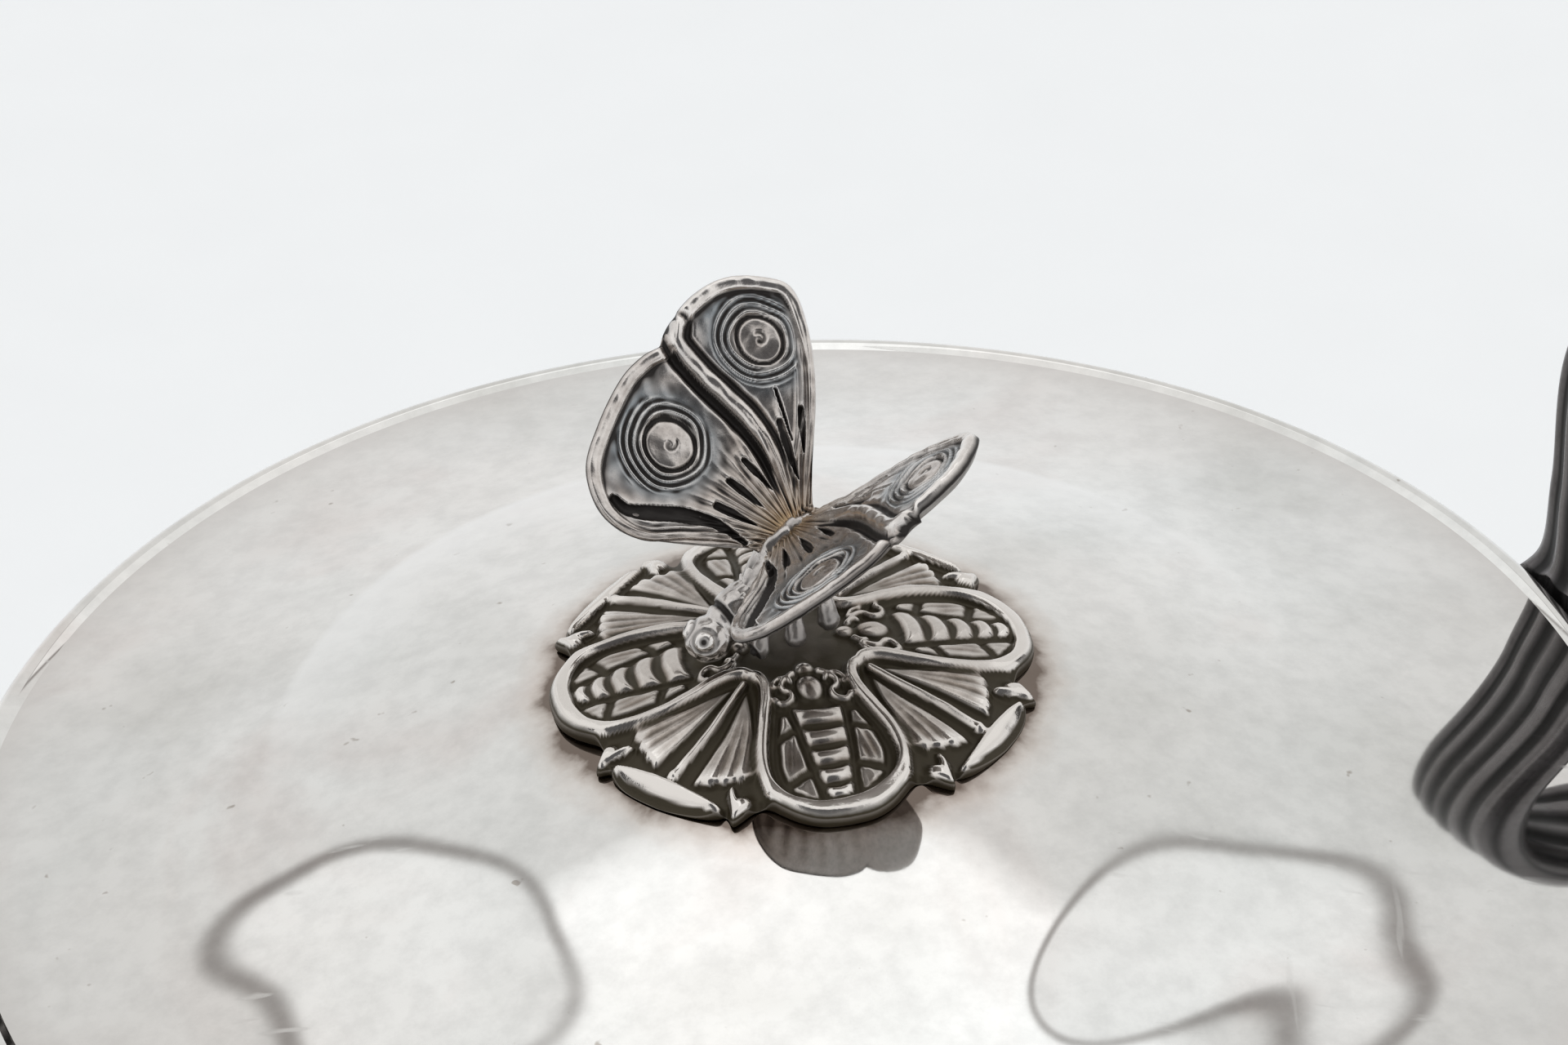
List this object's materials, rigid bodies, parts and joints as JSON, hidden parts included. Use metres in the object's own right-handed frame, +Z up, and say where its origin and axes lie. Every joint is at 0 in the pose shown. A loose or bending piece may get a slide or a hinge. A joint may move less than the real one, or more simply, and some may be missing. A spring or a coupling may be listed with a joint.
{
  "type": "covered sugar bowl",
  "caption": "Silver sugar bowl on a turned foot with looped handles and a lift-off domed lid, topped by a butterfly on a cast rosette.",
  "frame": {"origin": "centre of the foot's underside, on the surface that the bowl stands on", "axes": "+Z up the bowl's axis; the two handles lie along +X and -X; the front faces -Y"},
  "size_m": [0.1752, 0.125, 0.1494],
  "materials": {
    "polished_silver": "polished silver with light cloudy tarnish",
    "cast_silver": "cast silver, dark patina in the recesses, bright on the edges",
    "fixing_silver": "filed silver, dull"
  },
  "bodies": {
    "bowl": {"bowl_shell": "polished_silver", "bowl_rim_moulding": "polished_silver", "left_handle": "cast_silver", "right_handle": "cast_silver", "stem_knop": "polished_silver", "foot_shell": "polished_silver", "foot_ring": "polished_silver", "foot_stud": "fixing_silver", "foot_washer": "fixing_silver", "foot_nut": "fixing_silver"},
    "lid": {"lid_shell": "polished_silver", "lid_rim_wire": "polished_silver", "lid_bezel": "polished_silver", "rosette": "cast_silver", "butterfly_body": "cast_silver", "butterfly_left_wings": "cast_silver", "butterfly_right_wings": "cast_silver", "finial_stud": "fixing_silver", "finial_washer": "fixing_silver", "finial_nut": "fixing_silver"}
  },
  "joints": [
    {"name": "lid_lift", "type": "slide", "parent": "bowl", "child": "lid", "axis": [0, 0, 1], "range_m": [0, 0.15]}
  ]
}
